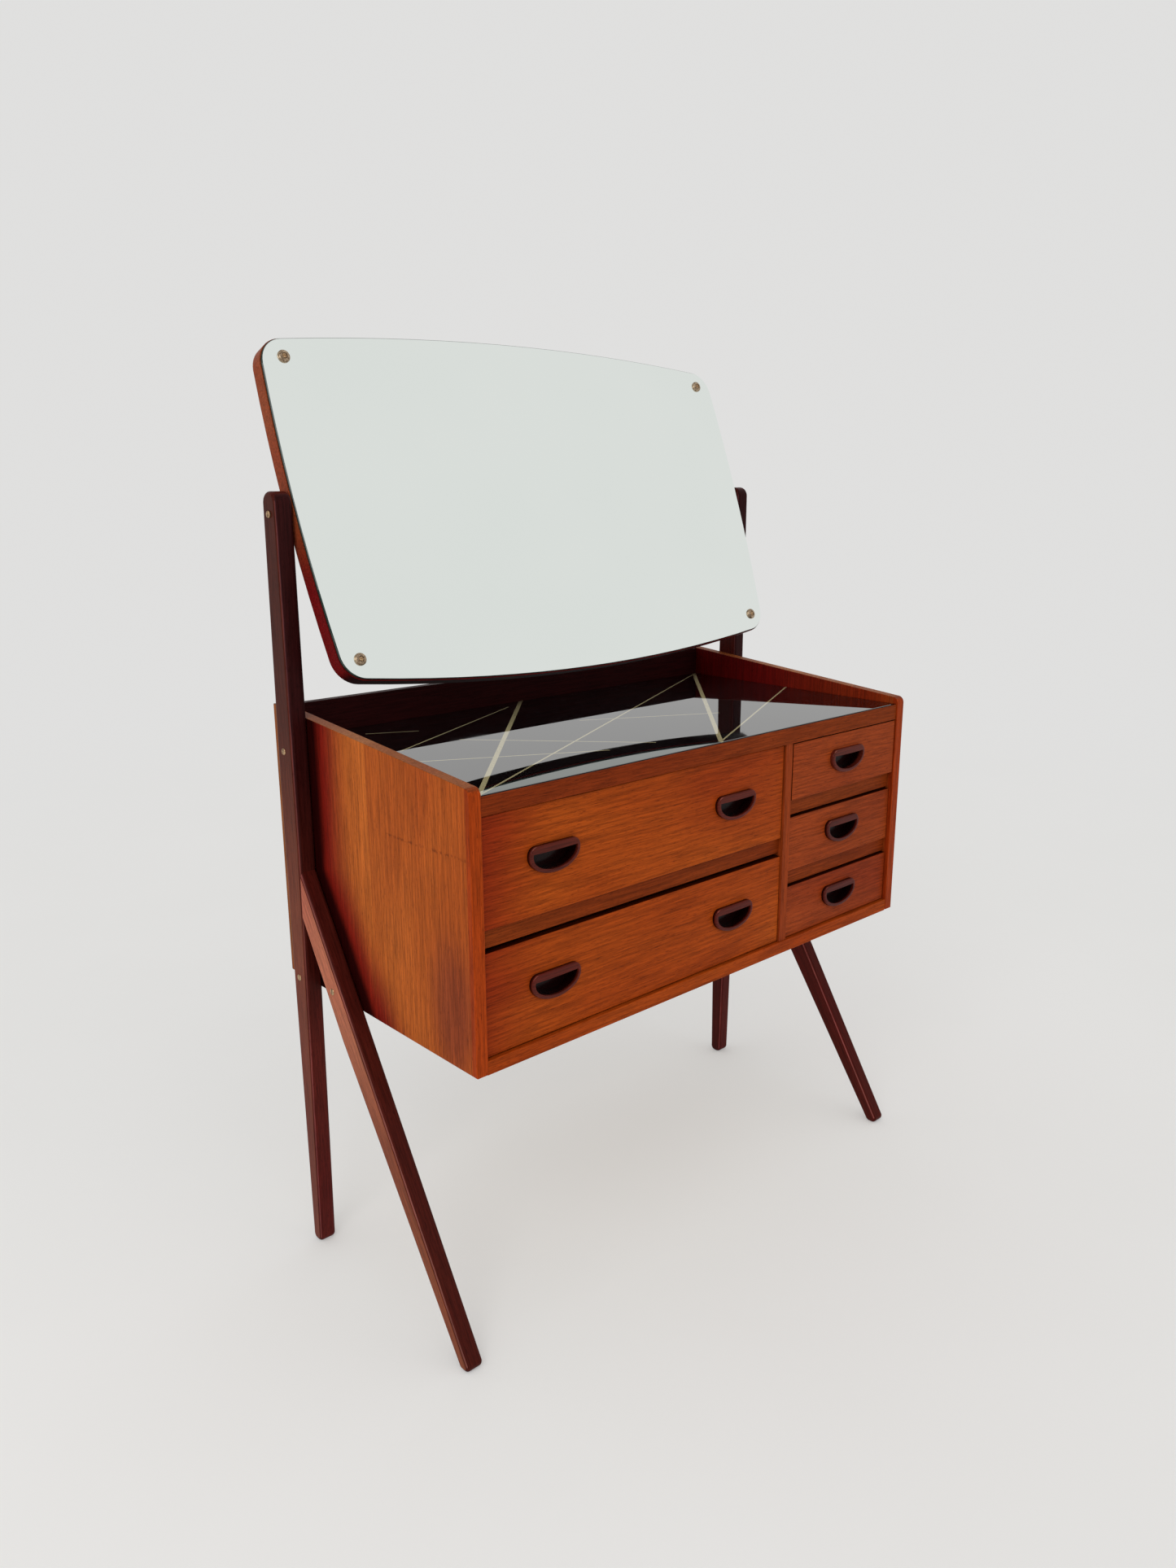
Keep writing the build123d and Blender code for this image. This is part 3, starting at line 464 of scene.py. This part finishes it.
def outer_face(graph, drift):
    """A mask on the outer faces of the legs and posts of both sides, where painted light and shade
    change the colour.
    """
    sideways = graph.math("ABSOLUTE", graph.vector("DOT_PRODUCT", graph.normal, X))
    out = graph.math("ABSOLUTE", graph.vector("DOT_PRODUCT", graph.place, X))
    return graph.math("MULTIPLY", graph.span(sideways, 0.93, 0.99),
                      graph.math("GREATER_THAN", out, OUTER_X))


def leg_wood(name, grain, seed, shades):
    return wood(name, MAHOGANY, grain=grain, face=X, pith=(0.2, 0.12), slope=0.02, ring=0.004,
                figure=0.45, seed=seed, rough=0.33, specular=SOFT_GLOSS, shades=shades)


def paint_legs():
    forward = facing(FORWARD)
    post = leg_wood("mahogany_post", Z, 8.8, (
        (outer_face, POST_OUTER_LIGHT),
        (both(outer_face, level(Z, 0.45, 0.85)), POST_OUTER_TOP_SHADE),
        (both(forward, level(Z, 0.45, 0.80)), POST_FRONT_TOP_SHADE),
        (both(forward, level(Z, 0.42, 0.30)), POST_FRONT_FOOT_LIGHT),
        (facing(tuple(POST_HIGHLIGHT_FACING), 0.965, 0.995), POST_CORNER_HIGHLIGHT),
    ))
    leg = leg_wood("mahogany_leg", tuple(LEG_SLOPE), 6.6, (
        (outer_face, LEG_OUTER_LIGHT),
        (both(outer_face, level(Z, 0.20, 0.45)), LEG_OUTER_TOP_LIGHT),
        (facing(tuple(LEG_HIGHLIGHT_FACING), 0.965, 0.995), LEG_CORNER_HIGHLIGHT),
    ))
    for hand in ("left", "right"):
        paint("mirror_post_" + hand, post)
        paint("front_leg_" + hand, leg)


# ---------------------------------------------------------------- mirror board
MIRROR_LEAN = math.radians(20.4)
MIRROR_FRONT = (0.0, -math.cos(MIRROR_LEAN), math.sin(MIRROR_LEAN))
# Painted shade on the mirror board: darker and redder below the pivots, dark on its rear and
# underside
LOWER_BOARD_SHADE = (0.55, 0.08, 0.30)
BOARD_REAR_SHADE = (0.12, 0.12, 0.2)
BOARD_UNDERSIDE_SHADE = (0.12, 0.2, 0.3)


def paint_mirror_board():
    paint("mirror_board", wood(
        "teak_mirror", MIRROR_WOOD, grain=X, face=MIRROR_FRONT, pith=(0.0, 0.3), slope=0.02,
        ring=0.004, figure=0.5, seed=1.1, specular=SOFT_GLOSS,
        shades=(
            (level(Z, PIVOT.z + 0.02, PIVOT.z - 0.10), LOWER_BOARD_SHADE),
            (facing(tuple(-part for part in MIRROR_FRONT)), BOARD_REAR_SHADE),
            (facing(DOWNWARD), BOARD_UNDERSIDE_SHADE),
        )))


# ---------------------------------------------------------------- drawer boxes and runners
def paint_drawer_boxes():
    beech = wood("beech", BEECH, grain=Y, face=X, pith=(0.3, 0.2), slope=0.03, ring=0.005,
                 figure=0.35, seed=2.2, pore=0.2, rough=0.6)
    beech_back = wood("beech_across", BEECH, grain=X, face=Y, pith=(0.3, 0.2), slope=0.03,
                      ring=0.005, figure=0.35, seed=2.7, pore=0.2, rough=0.6)
    ply = wood("plywood", PLY, grain=X, face=Z, pith=(0.3, 0.3), slope=0.05, ring=0.008,
               figure=0.35, seed=5.5, pore=0.2, rough=0.6)
    for name in FRONTS:
        paint(name + "_side_left", beech)
        paint(name + "_side_right", beech)
        paint(name + "_back", beech_back)
        paint(name + "_bottom", ply)
    paint("drawer_runners_left", beech)
    paint("drawer_runners_right", beech)


# ---------------------------------------------------------------- finger pulls
PULL_CREST = Vector((-0.35, -0.62, 0.70)).normalized()
# Painted shade in the pulls' cups, darker deeper in
PULL_CUP_SHADE = (0.10, 0.08, 0.16)
CREST_SHEEN = (2.2, 5.0, 7.0)


def paint_pulls():
    mahogany = wood(
        "pull_mahogany", PULL_WOOD, grain=X, face=Y, pith=(0.5, 0.12), slope=0.02, ring=0.0025,
        figure=0.5, seed=3.3, rough=0.18, specular=0.12, pore=0.3,
        shades=(
            (level(Y, FRONT_Y + 0.001, FRONT_Y + 0.005), PULL_CUP_SHADE),
            (facing(tuple(PULL_CREST), 0.94, 0.99), CREST_SHEEN),
        ))
    for name in FRONTS:
        for ending in ("_pull", "_pulls"):
            if name + ending in frame["nodes"]:
                paint(name + ending, mahogany)


# ---------------------------------------------------------------- black glass
# Gold lines on the black glass, in millimetres: start and end, each as x and the distance behind
# the panels' front edges, and width.
GOLD_LINES = (
    (-408.0, 5.0, -2.0, 429.0, 6.4),
    (1.0, 7.5, 404.0, 429.0, 6.4),
    (-408.0, 5.0, 410.0, 428.5, 2.8),
    (1.0, 7.5, 409.0, 220.6, 2.8),
    (-345.6, 254.0, -50.9, 400.0, 2.6),
    (-361.5, 187.4, -144.3, 72.4, 2.6),
    (-247.0, 258.0, -68.0, 63.5, 2.6),
    (-40.3, 244.6, 150.8, 144.4, 2.6),
    (-320.7, 378.3, -256.5, 345.0, 2.6),
)
LINE_SOFTNESS = 0.0004
BLACK = (0.004, 0.004, 0.0045)
GOLD = (0.46, 0.40, 0.22)
GLASS_IOR = 2.9


def paint_black_glass():
    glass = Graph("black_glass")
    lines = 0.0
    for x0, y0, x1, y1, width in GOLD_LINES:
        start = (x0 / 1000, FRONT_Y + y0 / 1000, GLASS_HIGH.z)
        end = (x1 / 1000, FRONT_Y + y1 / 1000, GLASS_HIGH.z)
        mask = line_mask(glass, start, end, width / 2000, LINE_SOFTNESS)
        lines = glass.math("MAXIMUM", lines, mask)
    wear = glass.span(glass.noise(glass.place, 320.0, 3.0), 0.28, 0.5, 0.75, 1.0)
    upward = glass.math("GREATER_THAN", glass.vector("DOT_PRODUCT", glass.normal, Z), 0.5)
    lines = glass.math("MULTIPLY", glass.math("MULTIPLY", lines, wear), upward)
    smear = glass.span(glass.noise(glass.place, 9.0, 5.0, 0.6), 0.45, 0.75, 0.015, 0.045)
    paint("glass_top", glass.finish(
        Base_Color=glass.mix(lines, BLACK, GOLD), Roughness=smear, IOR=GLASS_IOR))


# ---------------------------------------------------------------- mirror glass
SILVER_TONES = ((0.915, 0.968, 0.937), (0.93, 0.978, 0.948))
GLASS_EDGE = (0.012, 0.03, 0.024)


def paint_mirror_glass():
    silver = Graph("mirror_silver")
    ahead = silver.vector("DOT_PRODUCT", silver.normal, MIRROR_FRONT)
    front_face = silver.math("GREATER_THAN", ahead, 0.9)
    tone = silver.span(silver.noise(silver.place, 3.0, 2.0), 0.3, 0.7)
    paint("mirror_glass", silver.finish(
        Base_Color=silver.mix(front_face, GLASS_EDGE, silver.mix(tone, *SILVER_TONES)),
        Metallic=front_face,
        Roughness=silver.span(tone, 0.0, 1.0, 0.004, 0.008)))


# ---------------------------------------------------------------- metal
SCUFF_SCALE = 2400.0
SCUFF_RELIEF = 0.0001
SCUFF_ROUGHNESS = 0.14


def metal(name, colour, shade, rough, stain_scale):
    """A metal with faint stains and turning marks."""
    graph = Graph(name)
    stain = graph.span(graph.noise(graph.place, stain_scale, 4.0, 0.6), 0.35, 0.7)
    scuff = graph.noise(graph.place, SCUFF_SCALE, 2.0)
    graph.bump(scuff, 0.08, SCUFF_RELIEF)
    roughness = graph.span(scuff, 0.3, 0.7, rough, rough + SCUFF_ROUGHNESS)
    return graph.finish(Base_Color=graph.mix(stain, colour, shade), Metallic=1.0,
                        Roughness=roughness)


def paint_metal():
    brass = metal("screw_brass", (0.60, 0.40, 0.22), (0.20, 0.11, 0.06), 0.24, 420.0)
    aged = metal("rosette_brass", (0.50, 0.38, 0.26), (0.17, 0.11, 0.07), 0.26, 380.0)
    steel = metal("pivot_steel", (0.55, 0.54, 0.52), (0.35, 0.33, 0.31), 0.32, 300.0)
    for node in ("leg_screws", "mirror_screws", "pivot_screws"):
        paint(node, brass)
    paint("mirror_rosettes", aged)
    paint("pivot_bushes", steel)
    paint("pivot_washers", steel)


paint_side_panels()
paint_drawer_fronts()
paint_rails()
paint_core_boards()
paint_legs()
paint_mirror_board()
paint_drawer_boxes()
paint_pulls()
paint_black_glass()
paint_mirror_glass()
paint_metal()

# ---------------------------------------------------------------- wall, floor and light
WALL = (0.745, 0.742, 0.735)
FLOOR_RADIUS = 14.0
FLOOR_TONES = ((0.955, 0.952, 0.935), (0.97, 0.967, 0.952))
UNLIT = (0.0, 0.0, 0.0)
FADE_START, FADE_END = 0.9, 4.5     # from the table's middle
LEAST_GLOW = 0.35
KEY_PLACE = (-2.6, -1.4, 2.6)
KEY_TARGET = (0.0, 0.0, 0.6)
KEY_SIZE = 1.6
KEY_POWER = 22.0


def make_wall():
    world = bpy.data.worlds.new("studio")
    bpy.context.scene.world = world
    world.use_nodes = True
    background = world.node_tree.nodes["Background"]
    background.inputs["Color"].default_value = (*WALL, 1.0)
    background.inputs["Strength"].default_value = 1.0


def make_floor():
    """A wide round floor whose paint fades into the wall's colour far from the table."""
    mesh = bpy.data.meshes.new("floor")
    shape = bmesh.new()
    bmesh.ops.create_circle(shape, cap_ends=True, segments=96, radius=FLOOR_RADIUS)
    shape.to_mesh(mesh)
    shape.free()
    floor = bpy.data.objects.new("floor", mesh)
    bpy.context.scene.collection.objects.link(floor)
    graph = Graph("floor_paint")
    cloud = graph.span(graph.noise(graph.place, 1.3, 4.0), 0.35, 0.65)
    distance = graph.vector("LENGTH", graph.place)
    glow = graph.span(distance, FADE_START, FADE_END, LEAST_GLOW, 1.0)
    mesh.materials.append(graph.finish(
        Base_Color=graph.mix(glow, graph.mix(cloud, *FLOOR_TONES), UNLIT), Roughness=0.8,
        Specular_IOR_Level=0.0, Emission_Color=WALL, Emission_Strength=glow))


def make_key_light():
    """One large soft light, above the camera and to its left."""
    lamp = bpy.data.lights.new("key_light", "AREA")
    lamp.shape = "SQUARE"
    lamp.size = KEY_SIZE
    lamp.energy = KEY_POWER
    holder = bpy.data.objects.new("key_light", lamp)
    bpy.context.scene.collection.objects.link(holder)
    holder.location = KEY_PLACE
    aim = Vector(KEY_TARGET) - Vector(KEY_PLACE)
    holder.rotation_mode = "QUATERNION"
    holder.rotation_quaternion = aim.to_track_quat("-Z", "Y")


make_wall()
make_floor()
make_key_light()

# ---------------------------------------------------------------- camera
CAMERA_PLACE = Vector((-1.1649, -1.2383, 1.0799))
CAMERA_YAW = 42.25          # degrees from +Y towards +X
CAMERA_PITCH = 14.44        # degrees below the horizon
CAMERA_ROLL = -0.22
CAMERA_LENS = 26.87
SENSOR = 36.0


def make_camera():
    yaw, pitch, roll = (math.radians(a) for a in (CAMERA_YAW, CAMERA_PITCH, CAMERA_ROLL))
    heading = Vector((math.sin(yaw), math.cos(yaw), 0.0))
    sideways = Vector((math.cos(yaw), -math.sin(yaw), 0.0))
    up = Vector(Z)
    ahead = math.cos(pitch) * heading - math.sin(pitch) * up
    above = math.cos(pitch) * up + math.sin(pitch) * heading
    right = math.cos(roll) * sideways + math.sin(roll) * above
    top = math.cos(roll) * above - math.sin(roll) * sideways
    data = bpy.data.cameras.new("camera")
    data.lens = CAMERA_LENS
    data.sensor_width = SENSOR
    data.sensor_fit = "AUTO"
    camera = bpy.data.objects.new("camera", data)
    bpy.context.scene.collection.objects.link(camera)
    camera.matrix_world = Matrix((
        (right.x, top.x, -ahead.x, CAMERA_PLACE.x),
        (right.y, top.y, -ahead.y, CAMERA_PLACE.y),
        (right.z, top.z, -ahead.z, CAMERA_PLACE.z),
        (0.0, 0.0, 0.0, 1.0),
    ))
    bpy.context.scene.camera = camera


make_camera()
bpy.context.scene.view_settings.view_transform = "Standard"
bpy.context.scene.view_settings.look = "None"
